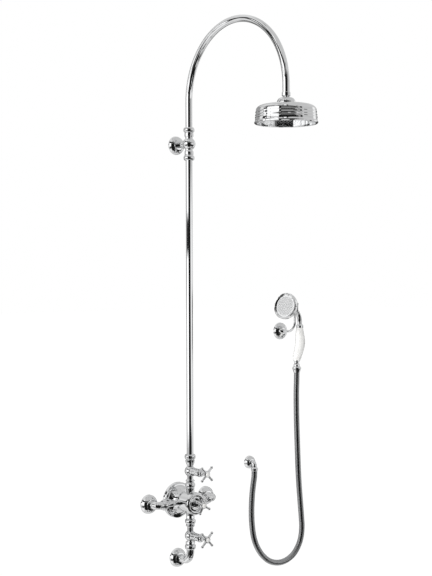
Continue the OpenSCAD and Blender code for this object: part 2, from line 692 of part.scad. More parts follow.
module swan_neck() color("silver") {
    at_riser(arm_start) turned([
        [tube_r - tube_wall, 0], [neck_r, 0], [neck_r, flange_t], [tube_r, flange_t],
        [tube_r, arm_spring - arm_start], [tube_r - tube_wall, arm_spring - arm_start]
    ]);
    at_riser(arm_spring) translate([0, -arm_r, 0]) across() rotate_extrude(angle = 180) translate([arm_r, 0])
        difference() {
            circle(r = tube_r);
            circle(r = tube_r - tube_wall);
        }
    at_riser(arm_tip) translate([0, -arm_reach, 0]) ring(tube_r, tube_r - tube_wall, arm_spring - arm_tip);
}

// ---- Ball joint and rose ----

module at_rose(h = 0) translate([0, -riser_out - arm_reach, h]) children();

module swivel_ball() color("silver") at_rose(ball_h) difference() {
    union() {
        sphere(r = ball_r);
        turned([
            [0, 0], [stem_r, 0], [stem_r, stem_l], [collar_r - 1, stem_l], [collar_r, stem_l + 1],
            [collar_r, stem_l + 11], [collar_r - 1, stem_l + 12], [tube_r + run_gap, stem_l + 12],
            [tube_r + run_gap, stem_l + 4], [0, stem_l + 4]
        ]);
    }
    translate([0, 0, -ball_r - 1]) cylinder(r = stem_r - 2, h = 2 * ball_r + stem_l);
}

module swivel_seat() color("gainsboro") at_rose(ball_h) {
    in_r = ball_r + run_gap;
    out_r = ball_r + seat_t;
    turned(concat(
        [for (i = [0:5]) let(z = seat_low + (seat_high - seat_low) * i / 5) [sqrt(pow(out_r, 2) - pow(z, 2)), z]],
        [for (i = [5:-1:0]) let(z = seat_low + (seat_high - seat_low) * i / 5) [sqrt(pow(in_r, 2) - pow(z, 2)) + 0.03, z]]
    ));
}

module swivel_nut() color("silver") at_rose(rose_top) {
    top = 15.5;
    turned(concat(
        [[boss_r + run_gap, -3], [boss_r + 10, -3], [boss_r + 11, -2]],
        swell([boss_r + 11, -0.5], [cavity_r - 0.6, top - 1], 7),
        [[cavity_r - 2.2, top]],
        [for (i = [6:-1:0]) let(z = 0.5 - 3 + (cavity_high + 2.5) * i / 6) [sqrt(pow(cavity_r, 2) - pow(z, 2)), z + 3]],
        [[boss_r + run_gap, 0.5]]
    ));
}

module rose_shell() color("silver") at_rose(rose_bottom) {
    foot = 2;
    shoulder = rose_h - 23;
    top = rose_h - 3;
    lean = 2.4 / (shoulder - skirt);
    ridges = [for (f = [0.3, 0.52, 0.8]) lip_h + f * (shoulder - lip_h)];
    difference() {
        union() {
            turned(concat(
                [[shell_in, foot], [shell_r - run_gap, foot], [shell_r - run_gap, skirt]],
                [for (z = ridges) each let(r = shell_r - run_gap - lean * (z - skirt))
                    [[r, z - 2.2], [r + 0.9, z - 0.8], [r + 0.9, z + 0.6], [r - 0.1, z + 1.8]]],
                swell([shell_r - 2.4, shoulder], [shell_r - 30, top - 4]),
                [[shell_r - 48, top - 1], [boss_r + 10, top], [0, top], [0, top - rose_wall],
                 [boss_r + 10, top - rose_wall], [shell_r - 48, top - 1 - rose_wall]],
                backwards(swell([shell_r - 2.4 - rose_wall, shoulder], [shell_r - 30, top - 4 - rose_wall])),
                [[shell_in, skirt]]
            ));
            translate([0, 0, rose_h - 13]) cylinder(r = boss_r, h = 13);
        }
        translate([0, 0, rose_h + 3]) sphere(r = ball_r + 2 * run_gap);
        translate([0, 0, rose_h - 14]) cylinder(r = stem_r, h = 12);
    }
}

module rose_face_plate() color("silver") at_rose(rose_bottom + face_recess) difference() {
    cylinder(r = shell_in - run_gap, h = plate_t);
    translate([0, 0, -1]) cylinder(r = spray_d / 2, h = plate_t + 2);
    for (i = [1:rose_rings]) for (j = [0:6 * i - 1]) rotate([0, 0, 60 * j / i])
        translate([i * (rose_r - 15) / rose_rings, 0, -1]) cylinder(r = spray_d / 2, h = plate_t + 2);
}

// Channel that holds the shell's edge, with an inner wall that carries the spray plate
module rose_lip_ring() color("silver") at_rose(rose_bottom) turned([
    [shell_in - 2.2, 1], [shell_in - 1.2, 0], [rose_r - 2, 0], [rose_r, 2], [rose_r, 4.5], [rose_r - 1.4, 7],
    [shell_r + 0.6, lip_h], [shell_r, lip_h], [shell_r, 2], [shell_in - run_gap, 2],
    [shell_in - run_gap, face_recess], [shell_in - 2.2, face_recess]
]);

// ---- Lower outlet ----

module outlet_union_nut() color("silver") at_riser(-outlet_joint) mirror([0, 0, 1])
    union_nut(neck_r, tube_r, nut_r, nut_bead_h);

module outlet_bend() color("silver") {
    bore = tube_r - tube_wall;
    at_riser(-bend_start) mirror([0, 0, 1]) turned([
        [bore, 0], [neck_r, 0], [neck_r, flange_t], [tube_r, flange_t], [tube_r, 2 * flange_t + 0.5],
        [neck_r, 2 * flange_t + 2.5], [neck_r, bend_straight], [bore, bend_straight]
    ]);
    translate([0, -riser_out + bend_r, -bend_start - bend_straight]) across()
        rotate_extrude(angle = 90, start = 180) translate([bend_r, 0]) difference() {
            circle(r = neck_r);
            circle(r = bore);
        }
    out_from(0, -bend_drop) turned([
        [socket_r, 0], [neck_r, 0], [neck_r, riser_out - bend_r],
        [bore, riser_out - bend_r], [bore, socket_depth], [socket_r, socket_depth]
    ]);
}

module outlet_cover() color("silver") out_from(0, -bend_drop) wall_cover(bend_cover_d, neck_r + run_gap, 20);

// ---- Seals ----

module seals() color("dimgray") {
    for (h = [riser_joint + stub_in, bracket_h - bracket_joint - flange_in, bracket_h + bracket_joint + stub_in,
              -outlet_joint - flange_in])
        at_riser(h) ring(neck_r - 0.5, water_r, seal_t);
    on_side() translate([-elbow_end, -inlet_out, 0]) rotate([0, 90, 0]) ring(elbow_r - 0.5, 5.5, seal_t);
}

// ---- Hook and hand shower ----

module hook_cover() color("silver") out_from(hook_x, hook_h) wall_cover(hook_cover_d, 7 + run_gap, 19);

module hook_arm() color("silver") {
    out_from(hook_x, hook_h) turned([
        [0, plate_h], [plate_bore - run_gap, plate_h], [plate_bore - run_gap, plate_boss], [7, plate_boss],
        [7, 24], [rod_r + 1.4, 26], [rod_r, 30], [rod_r, fork_out - hook_bend], [0, fork_out - hook_bend]
    ]);
    translate([hook_x, -fork_out + hook_bend, hook_h + hook_bend]) across()
        rotate_extrude(angle = 90, start = 180) translate([hook_bend, 0]) circle(r = rod_r);
    translate([hook_x, -fork_out, 0]) {
        translate([0, 0, hook_h + hook_bend]) cylinder(r = rod_r, h = fork_rise - hook_bend - fork_r);
        translate([0, 0, fork_h]) {
            across() rotate_extrude(angle = 180, start = 180) translate([fork_r, 0]) circle(r = prong_r);
            for (s = [-1, 1]) translate([0, s * fork_r, 0]) {
                cylinder(r = prong_r, h = prong_h - 3);
                translate([0, 0, prong_h - 3]) sphere(r = prong_r + 1);
            }
        }
    }
}

module handset() translate([hook_x, -fork_out, fork_h]) rotate([0, 0, handset_turn]) children();
module head_frame() handset() translate([head_c[0], 0, head_c[1]]) rotate([0, -90 + head_tilt, 0]) children();

module handset_head() color("silver") head_frame() turned(concat(
    [[handset_bore, -head_depth - neck_straight], [neck2_r + 1.2, -head_depth - neck_straight],
     [neck2_r + 1.2, -head_depth - neck_straight + 3], [neck2_r, -head_depth - neck_straight + 4],
     [neck2_r, -head_depth - 1], [neck2_r + 2, -head_depth]],
    [for (p = backwards(swell([head_r, 7], [neck2_r + 3, head_depth - 0.5]))) [p[0], -p[1]]],
    [[head_r, -2], [head_r - 1.5, 0], [head_r - 3, -0.4], [face_r + 1.5, -4.5], [face_r + run_gap, -4.5],
     [face_r + run_gap, -6.5], [face_r - 2.5, -6.5], [face_r - 2.5, -8.5]],
    [for (p = swell([head_r - 3, 9], [neck2_r, head_depth - 3])) [p[0], -p[1]]],
    [[handset_bore, -head_depth + 3]]
));

module handset_face() color("lightgray") head_frame() translate([0, 0, -6.5]) difference() {
    pitch = 7.2;
    cylinder(r = face_r, h = 2);
    rotate([0, 0, 45]) for (i = [-4:4]) for (j = [-4:4]) if (norm([i, j]) * pitch < face_r - 4)
        translate([i * pitch, j * pitch, -1]) cylinder(r = 0.9, h = 4, $fn = 6);
}

module handset_neck() color("silver") handset() {
    translate([neck_c[0], 0, neck_c[1]]) rotate([90, 0, 0])
        rotate_extrude(angle = 90 - head_tilt) translate([neck_bend, 0]) difference() {
            circle(r = neck2_r);
            circle(r = handset_bore);
        }
    translate([grip_off, 0, grip_top]) turned([
        [handset_bore, -5], [grip_bore - 1.2, -5], [grip_bore - 1.2, 0], [12.5, 0], [12.5, collar_h - 5.5],
        [10.5, collar_h - 2], [neck2_r, collar_h], [neck2_r, collar_h + 6], [handset_bore, collar_h + 6]
    ]);
}

function grip_centre(s) = [foot_t + grip_lean * s + grip_bow * pow(sin(180 * s), 2), 0, grip_bottom + grip_l * s];

module handset_grip() color("white") handset() {
    at = [0, 0.03, 0.1, 0.2, 0.3, 0.4, 0.5, 0.6, 0.7, 0.8, 0.88, 0.95, 1];
    swelling = [0.72, 0.79, 0.88, 0.95, 0.98, 1, 1, 0.98, 0.94, 0.87, 0.79, 0.71, 0.68];
    loft([for (i = [0:12]) circle_at(grip_centre(at[i]), [1, 0, 0], [0, 1, 0], grip_r * swelling[i], 28)],
         [for (i = [0:12]) circle_at(grip_centre(at[i]), [1, 0, 0], [0, 1, 0], grip_bore, 28)]);
}

module handset_ferrule() color("silver") handset() translate([foot_t, 0, grip_bottom]) turned([
    [handset_bore, 5], [grip_bore - 1.2, 5], [grip_bore - 1.2, 0], [11.5, 0], [11.5, -2.4], [8.6, -4.5],
    [8.4, -10], [9.6, -13.5], [11.2, -16], [11.2, -19], [10, -ferrule_h], [stub_r, -ferrule_h],
    [stub_r, -ferrule_h - 8], [handset_bore, -ferrule_h - 8]
]);

module hose_handset_nut() color("silver") handset() translate([foot_t, 0, handset_end]) turned([
    [hose_bore, 0], [hose_r + 0.8, 0], [hose_r + 1.8, 3], [hose_r + 4.2, 10], [hose_r + 5.6, 15], [hose_r + 5.2, 18.5],
    [hose_r + 2.6, 21.5], [hose_r + 0.4, hose_nut_h], [stub_r + run_gap, hose_nut_h],
    [stub_r + run_gap, hose_nut_h - 8], [hose_bore, hose_nut_h - 8]
]);

// ---- Hose and its outlet ----

module hose() color("gainsboro") {
    last = len(hose_route) - 1;
    straight = [0, 0, 4];
    path = concat([hose_start, hose_start - straight],
        [for (i = [1:last - 1]) hose_route[i] + (1 - i / last) * (hose_start - hose_route[0])
            + i / last * (hose_finish - hose_route[last])],
        [hose_finish - straight, hose_finish]);
    loft(rings_on(path, hose_r, 10, [0, 1, 0]), rings_on(path, hose_bore + 0.4, 10, [0, 1, 0]));
}

module hose_outlet_nut() color("silver") translate([hose_out_x, -hose_out, hose_nut_end]) turned([
    [hose_bore, 0], [hose_r + 0.8, 0], [hose_r + 2.2, 2], [hose_r + 2.2, 9], [hose_r, 12], [stub_r + 1.2, 14],
    [stub_r + run_gap, 14], [stub_r + run_gap, 6], [hose_bore, 6]
]);

module hose_wall_elbow() color("silver") {
    out_from(hose_out_x, hose_out_h) turned([
        [socket_r, 0], [neck_r, 0], [neck_r, socket_depth + 1], [hose_elbow_r, socket_depth + 1],
        [hose_elbow_r, hose_out - hose_bend], [hose_bore, hose_out - hose_bend], [hose_bore, socket_depth],
        [socket_r, socket_depth]
    ]);
    translate([hose_out_x, -hose_out + hose_bend, hose_out_h - hose_bend]) across()
        rotate_extrude(angle = 90, start = 90) translate([hose_bend, 0]) difference() {
            circle(r = hose_elbow_r);
            circle(r = hose_bore);
        }
    translate([hose_out_x, -hose_out, hose_nut_end + 6]) turned([
        [hose_bore, 0], [stub_r, 0], [stub_r, 8.5], [hose_elbow_r, 9.5],
        [hose_elbow_r, hose_out_h - hose_bend - hose_nut_end - 6], [hose_bore, hose_out_h - hose_bend - hose_nut_end - 6]
    ]);
}

module hose_cover() color("silver") out_from(hose_out_x, hose_out_h) wall_cover(hose_cover_d, hose_elbow_r + run_gap, 18.5);

wall_bell();
thermostat_body();
thermostat_bezel();
temperature_scale();
thermostatic_cartridge();
thermostat_shuttle();
return_spring();
thermostat_spindle();
thermostat_handle();
thermostat_handle_button();
hot_wall_elbow();
cold_wall_elbow();
inlet_covers();
inlet_union_nuts();
hot_inlet_arm();
cold_inlet_arm();
check_valves();
upper_stopcock_body();
upper_bonnet();
upper_spindle();
upper_moving_disc();
upper_handle();
upper_handle_button();
lower_stopcock_body();
lower_bonnet();
lower_spindle();
lower_moving_disc();
lower_handle();
lower_handle_button();
fixed_ceramic_discs();
riser_nut();
riser_tube();
bracket_body();
bracket_nuts();
bracket_cover();
wall_plates();
swan_neck();
swivel_ball();
swivel_seat();
swivel_nut();
rose_shell();
rose_face_plate();
rose_lip_ring();
outlet_union_nut();
outlet_bend();
outlet_cover();
seals();
hook_cover();
hook_arm();
handset_head();
handset_face();
handset_neck();
handset_grip();
handset_ferrule();
hose_handset_nut();
hose();
hose_outlet_nut();
hose_wall_elbow();
hose_cover();
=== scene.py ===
"""Dressed model of a wall-hung rainfall shower column: finishes, hose, spray nozzles, studio and camera."""

import json
from math import cos, pi, radians, sin, tau

import bmesh
import bpy
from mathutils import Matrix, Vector


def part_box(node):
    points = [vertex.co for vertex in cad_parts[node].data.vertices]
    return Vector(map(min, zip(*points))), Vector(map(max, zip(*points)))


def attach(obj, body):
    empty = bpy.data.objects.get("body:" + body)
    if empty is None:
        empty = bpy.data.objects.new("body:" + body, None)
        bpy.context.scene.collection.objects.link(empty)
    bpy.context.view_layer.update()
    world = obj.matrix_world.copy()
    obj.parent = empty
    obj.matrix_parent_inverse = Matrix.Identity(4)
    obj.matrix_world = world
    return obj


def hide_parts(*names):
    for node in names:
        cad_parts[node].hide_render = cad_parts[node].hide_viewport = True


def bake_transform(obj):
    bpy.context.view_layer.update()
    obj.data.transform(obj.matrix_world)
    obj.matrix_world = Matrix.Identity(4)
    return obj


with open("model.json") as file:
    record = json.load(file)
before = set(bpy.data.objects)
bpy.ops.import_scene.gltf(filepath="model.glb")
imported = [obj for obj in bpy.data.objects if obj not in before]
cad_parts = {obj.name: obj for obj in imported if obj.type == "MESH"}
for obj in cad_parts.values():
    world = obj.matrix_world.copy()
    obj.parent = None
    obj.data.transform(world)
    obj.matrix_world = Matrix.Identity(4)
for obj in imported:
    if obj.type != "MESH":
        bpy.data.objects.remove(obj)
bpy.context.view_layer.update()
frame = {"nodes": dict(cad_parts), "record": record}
nodes = frame["nodes"]
scene = bpy.context.scene

MM = 0.001

# ---------------------------------------------------------------- camera

VIEW_SIDE = radians(40)  # the camera stands this far to the left of square on
CAMERA_AT = Vector((-2.480, -3.166, 0.766))
FOCAL = 75.06  # mm, on a 36 mm frame whose long side is the height
ROLL = radians(0.2)
SHIFT_DOWN = -0.0304  # the horizon lies a little above the middle of the frame

camera_data = bpy.data.cameras.new("camera")
camera_data.lens = FOCAL
camera_data.sensor_width = 36
camera_data.shift_y = SHIFT_DOWN
camera_data.shift_x = -0.0007
camera_data.clip_end = 60
camera = bpy.data.objects.new("camera", camera_data)
camera.location = CAMERA_AT
camera.rotation_euler = (pi / 2, ROLL, -VIEW_SIDE)
scene.collection.objects.link(camera)
scene.camera = camera


# ---------------------------------------------------------------- mesh helpers


def new_mesh(name, verts, faces, smooth=True):
    mesh = bpy.data.meshes.new(name)
    mesh.from_pydata([tuple(v) for v in verts], [], faces)
    mesh.validate()
    work = bmesh.new()
    work.from_mesh(mesh)
    bmesh.ops.recalc_face_normals(work, faces=work.faces)
    work.to_mesh(mesh)
    work.free()
    for face in mesh.polygons:
        face.use_smooth = smooth
    obj = bpy.data.objects.new(name, mesh)
    scene.collection.objects.link(obj)
    return obj


def spline(points, steps):
    """Points of a Catmull-Rom curve through the given ones, with this many steps between two of them."""
    p = [Vector(q) for q in points]
    p = [2 * p[0] - p[1]] + p + [2 * p[-1] - p[-2]]
    out = []
    for a, b, c, d in zip(p, p[1:], p[2:], p[3:]):
        for k in range(steps):
            t = k / steps
            out.append(
                0.5
                * (
                    2 * b
                    + (c - a) * t
                    + (2 * a - 5 * b + 4 * c - d) * t**2
                    + (3 * b - a - 3 * c + d) * t**3
                )
            )
    return out + [p[-2]]


def length_of(points):
    return sum((b - a).length for a, b in zip(points, points[1:]))


def evenly(points, gap):
    """The same line, with a point every gap or so."""
    total = length_of(points)
    count = round(total / gap)
    out, walked, i = [points[0]], 0.0, 0
    for k in range(1, count):
        goal = total * k / count
        while walked + (points[i + 1] - points[i]).length < goal:
            walked += (points[i + 1] - points[i]).length
            i += 1
        step = points[i + 1] - points[i]
        out.append(points[i] + step * ((goal - walked) / step.length))
    return out + [points[-1]]


def tube(name, centres, radii, sides, side_axis, hollow=None):
    """A tube along the centres, closed at its ends by a washer down to the hollow radius."""
    verts, faces = [], []
    last = len(centres) - 1
    rows = [(i, radii[i]) for i in range(last + 1)]
    if hollow:
        rows = [(0, hollow)] + rows + [(last, hollow)]
    for i, r in rows:
        along = (centres[min(i + 1, last)] - centres[max(i - 1, 0)]).normalized()
        across = side_axis.cross(along).normalized()
        up = along.cross(across)
        for k in range(sides):
            a = tau * k / sides
            verts.append(centres[i] + (across * cos(a) + up * sin(a)) * r)
    for j in range(len(rows) - 1):
        for k in range(sides):
            n = (k + 1) % sides
            faces.append((j * sides + k, j * sides + n, (j + 1) * sides + n, (j + 1) * sides + k))
    return new_mesh(name, verts, faces)


# ---------------------------------------------------------------- hose

HOSE_R = 10 * MM
HOSE_BORE = 5.4 * MM
HOSE_PITCH = 3.4 * MM
HOSE_GROOVE = 0.5 * MM
ROWS_PER_TURN = 4  # rows of points along one turn of the strip
HOSE_SIDES = 28
PATH_GAP = 20 * MM  # between the points of hose_path, a coarser copy of the route
ROUTE_MM = [
    (482.3, -78.2, 402), (482.3, -78.2, 398), (481.4, -78.2, 370), (480.3, -78, 335), (480.1, -78, 298),
    (480.5, -78, 260), (481.3, -78, 222), (482.7, -78, 184), (484.6, -77.5, 146),
    (486.7, -77, 108), (489.2, -76, 70), (492.4, -75, 32), (496.2, -74, -6),
    (500.8, -73, -44), (506, -71.5, -82), (511, -70, -118), (514, -69, -151),
    (512, -67, -183), (503, -65, -212), (482, -62, -242), (452, -58, -261),
    (415, -54, -267), (377, -50, -257.5), (346, -46, -234), (323, -43, -202),
    (309.5, -40, -166), (304, -37.5, -126), (303.5, -35, -87), (306, -33, -50),
    (310.5, -31.5, -12), (316.5, -30.5, 20), (321, -30, 42), (322, -30, 60), (322, -30, 64),
]  # fmt: skip

route = [Vector(p) * MM for p in ROUTE_MM]
route[0].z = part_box("hose")[1][2]
fine = spline(route, 24)
centres = evenly(fine, HOSE_PITCH / ROWS_PER_TURN)
ridge = [HOSE_R - HOSE_GROOVE * (i % ROWS_PER_TURN == 0) for i in range(len(centres))]
ridge[0] = ridge[-1] = HOSE_R
hose = tube("hose_strip", centres, ridge, HOSE_SIDES, Vector((0, 1, 0)), hollow=HOSE_BORE)
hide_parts("hose")
hose_path = evenly(fine, PATH_GAP)
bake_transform(hose)

# ---------------------------------------------------------------- nozzles


def studs(name, centres, axis, r, height):
    """Small domed nozzles, one at each centre, standing out along the axis, with a dimple in each tip."""
    across = axis.orthogonal().normalized()
    up = axis.cross(across)
    outline = ((1.0, 0.0), (0.95, 0.45), (0.75, 0.85), (0.45, 1.0), (0.22, 0.8))
    verts, faces, sides = [], [], 10
    for centre in centres:
        first = len(verts)
        for wide, high in outline:
            for k in range(sides):
                a = tau * k / sides
                verts.append(centre + (across * cos(a) + up * sin(a)) * r * wide + axis * height * high)
        for j in range(len(outline) - 1):
            for k in range(sides):
                n = (k + 1) % sides
                at = first + j * sides
                faces.append((at + k, at + n, at + sides + n, at + sides + k))
        faces.append(tuple(first + (len(outline) - 1) * sides + k for k in range(sides)))
        faces.append(tuple(first + k for k in reversed(range(sides))))
    return new_mesh(name, verts, faces)


ROSE_RINGS = 8
NOZZLE_R = 1.7 * MM
NOZZLE_RISE = 0.3 * MM
CLEAR_RIM = 15 * MM  # from the last ring of nozzles to the rose's edge
low, high = (Vector(corner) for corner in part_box("rose_face_plate"))
middle = (low + high) / 2
ring_gap = (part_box("rose_lip_ring")[1][0] - middle.x - CLEAR_RIM) / ROSE_RINGS
spots = [Vector((middle.x, middle.y, low.z))]
for ring in range(1, ROSE_RINGS + 1):
    for k in range(6 * ring):
        a = tau * k / (6 * ring)
        x, y = middle.x + cos(a) * ring * ring_gap, middle.y + sin(a) * ring * ring_gap
        spots.append(Vector((x, y, low.z)))
nozzles = studs("rose_nozzles", spots, Vector((0, 0, -1)), NOZZLE_R, NOZZLE_RISE)
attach(nozzles, "rain_rose")

# ---------------------------------------------------------------- materials


def shader(name, color, roughness, metallic=0.0, **more):
    material = bpy.data.materials.new(name)
    material.use_nodes = True
    tree = material.node_tree
    bsdf = tree.nodes["Principled BSDF"]
    bsdf.inputs["Base Color"].default_value = (*color, 1)
    bsdf.inputs["Roughness"].default_value = roughness
    bsdf.inputs["Metallic"].default_value = metallic
    for key, value in more.items():
        bsdf.inputs[key.replace("_", " ")].default_value = value
    return material, tree, bsdf


def add(tree, kind, **settings):
    node = tree.nodes.new(kind)
    for key, value in settings.items():
        if key in node.inputs:
            node.inputs[key].default_value = value
        else:
            setattr(node, key, value)
    return node


def noise(tree, scale, detail=3.0, stretch=(1, 1, 1)):
    """Noise over the object's own coordinates."""
    place = add(tree, "ShaderNodeTexCoord")
    sized = add(tree, "ShaderNodeMapping", Scale=stretch)
    tree.links.new(place.outputs["Object"], sized.inputs["Vector"])
    field = add(tree, "ShaderNodeTexNoise", Scale=scale, Detail=detail)
    tree.links.new(sized.outputs["Vector"], field.inputs["Vector"])
    return field.outputs["Fac"]


def mapped(tree, value, low, high, start=0.35, stop=0.65):
    node = add(tree, "ShaderNodeMapRange")
    node.inputs["From Min"].default_value = start
    node.inputs["From Max"].default_value = stop
    node.inputs["To Min"].default_value = low
    node.inputs["To Max"].default_value = high
    tree.links.new(value, node.inputs["Value"])
    return node.outputs["Result"]


def tinted(tree, value, dark, light):
    ramp = add(tree, "ShaderNodeValToRGB")
    ramp.color_ramp.elements[0].position = 0.35
    ramp.color_ramp.elements[1].position = 0.65
    ramp.color_ramp.elements[0].color = (*dark, 1)
    ramp.color_ramp.elements[1].color = (*light, 1)
    tree.links.new(value, ramp.inputs["Fac"])
    return ramp.outputs["Color"]


def bump(tree, bsdf, height, strength, distance):
    node = add(tree, "ShaderNodeBump", Strength=strength, Distance=distance)
    tree.links.new(height, node.inputs["Height"])
    tree.links.new(node.outputs["Normal"], bsdf.inputs["Normal"])


def chrome(name, color, smooth, dull):
    """Polished plating: a few soft wipe marks and a very slight waviness of the metal under it."""
    material, tree, bsdf = shader(name, color, smooth, metallic=1.0)
    wipe = noise(tree, 45, detail=4, stretch=(1, 1, 0.35))
    tree.links.new(mapped(tree, wipe, smooth, dull), bsdf.inputs["Roughness"])
    dim, bright = (tuple(min(1, c * share) for c in color) for share in (0.97, 1.03))
    tree.links.new(tinted(tree, noise(tree, 8), dim, bright), bsdf.inputs["Base Color"])
    bump(tree, bsdf, noise(tree, 60, detail=1), 0.015, 0.0004)
    return material


CHROME = (0.83, 0.835, 0.84)
polished = chrome("polished_chrome", CHROME, 0.012, 0.04)
satin = chrome("spray_plate_chrome", (0.80, 0.805, 0.81), 0.05, 0.10)
strip = chrome("hose_strip_chrome", (0.40, 0.405, 0.41), 0.05, 0.10)
face = chrome("hand_spray_face_chrome", (0.80, 0.805, 0.81), 0.24, 0.32)

porcelain, tree, bsdf = shader(
    "glazed_porcelain", (0.93, 0.925, 0.905), 0.1, Coat_Weight=0.6, Coat_Roughness=0.03, IOR=1.52
)
tree.links.new(
    tinted(tree, noise(tree, 30), (0.915, 0.91, 0.89), (0.94, 0.935, 0.92)), bsdf.inputs["Base Color"]
)
bump(tree, bsdf, noise(tree, 40, detail=1), 0.02, 0.001)


def grained(name, color, smooth, dull, scale, metallic=0.0, stretch=(1, 1, 1)):
    """A plain material whose roughness wanders between two values."""
    material, tree, bsdf = shader(name, color, (smooth + dull) / 2, metallic=metallic)
    grain = noise(tree, scale, stretch=stretch)
    tree.links.new(mapped(tree, grain, smooth, dull), bsdf.inputs["Roughness"])
    return material


brass = grained("machined_brass", (0.78, 0.6, 0.3), 0.2, 0.36, 400, metallic=1.0, stretch=(1, 0.1, 1))
steel = grained("plain_steel", (0.55, 0.56, 0.57), 0.28, 0.45, 300, metallic=1.0)
ceramic = grained("lapped_ceramic", (0.88, 0.87, 0.84), 0.15, 0.3, 500)
moulded = grained("moulded_plastic", (0.86, 0.84, 0.76), 0.38, 0.55, 250)
rubber = grained("seal_rubber", (0.02, 0.02, 0.02), 0.65, 0.85, 350)

FINISHES = {
    "chrome": polished,
    "spray_chrome": satin,
    "hose_chrome": strip,
    "porcelain": porcelain,
    "brass": brass,
    "steel": steel,
    "disc_ceramic": ceramic,
    "valve_plastic": moulded,
    "seal_rubber": rubber,
}


def finish_with(obj, material):
    obj.data.materials.clear()
    obj.data.materials.append(material)
    return obj


def smoothing(angle):
    """Modifier nodes that join doubled points and shade smoothly over edges below the angle."""
    group = bpy.data.node_groups.new("smooth_below_angle", "GeometryNodeTree")
    group.interface.new_socket("Geometry", in_out="INPUT", socket_type="NodeSocketGeometry")
    group.interface.new_socket("Geometry", in_out="OUTPUT", socket_type="NodeSocketGeometry")
    start, end = group.nodes.new("NodeGroupInput"), group.nodes.new("NodeGroupOutput")
    weld = group.nodes.new("GeometryNodeMergeByDistance")
    weld.inputs["Distance"].default_value = 0.00001
    soft = group.nodes.new("GeometryNodeSetShadeSmooth")
    soft.domain = "FACE"
    hard = group.nodes.new("GeometryNodeSetShadeSmooth")
    hard.domain = "EDGE"
    hard.inputs["Shade Smooth"].default_value = False
    turn = group.nodes.new("GeometryNodeInputMeshEdgeAngle")
    over = group.nodes.new("FunctionNodeCompare")
    over.operation = "GREATER_THAN"
    over.inputs["B"].default_value = angle
    group.links.new(start.outputs[0], weld.inputs["Geometry"])
    group.links.new(weld.outputs["Geometry"], soft.inputs["Geometry"])
    group.links.new(soft.outputs["Geometry"], hard.inputs["Geometry"])
    group.links.new(turn.outputs["Unsigned Angle"], over.inputs["A"])
    group.links.new(over.outputs["Result"], hard.inputs["Selection"])
    group.links.new(hard.outputs["Geometry"], end.inputs[0])
    return group


SHARP_EDGE = radians(26)
SMOOTHING = smoothing(SHARP_EDGE)
for part in frame["record"]["subparts"]:
    node = nodes[part["node"]]
    finish_with(node, FINISHES[part["material_slot"]])
    node.modifiers.new("smooth", "NODES").node_group = SMOOTHING
finish_with(hose, strip)
finish_with(nodes["handset_face"], face)
finish_with(nodes["thermostatic_cartridge"], polished)  # its plated flange shows behind the handle
finish_with(nozzles, satin)

# ---------------------------------------------------------------- studio

FLOOR_Z = -1.0  # the valve is mounted about a metre up
FLOOR_HALF = 40
FLOOR_GLOW = 1.06  # what the camera sees of the floor, so that it meets the white behind it


def mix_for_camera(tree, plain, shown, output, share):
    """Sends shown to the camera and plain to everything else."""
    path = add(tree, "ShaderNodeLightPath")
    amount = add(tree, "ShaderNodeMath", operation="MULTIPLY")
    amount.inputs[1].default_value = share
    tree.links.new(path.outputs["Is Camera Ray"], amount.inputs[0])
    mix = add(tree, "ShaderNodeMixShader")
    tree.links.new(amount.outputs[0], mix.inputs["Fac"])
    tree.links.new(plain, mix.inputs[1])
    tree.links.new(shown, mix.inputs[2])
    tree.links.new(mix.outputs[0], output)


floor_mat, tree, bsdf = shader("floor", (0.93, 0.93, 0.93), 0.8)
tree.links.new(mapped(tree, noise(tree, 6), 0.75, 0.85), bsdf.inputs["Roughness"])
glow = add(tree, "ShaderNodeEmission", Strength=FLOOR_GLOW)
glow.inputs["Color"].default_value = (1, 1, 1, 1)
mix_for_camera(
    tree, bsdf.outputs[0], glow.outputs[0], tree.nodes["Material Output"].inputs["Surface"], 0.9
)
corners = [(x * FLOOR_HALF, y * FLOOR_HALF, FLOOR_Z) for x, y in ((-1, -1), (1, -1), (1, 1), (-1, 1))]
floor = new_mesh("floor", corners, [(0, 1, 2, 3)], smooth=False)
finish_with(floor, floor_mat)
floor.visible_glossy = False  # the room's panels have a floor of their own

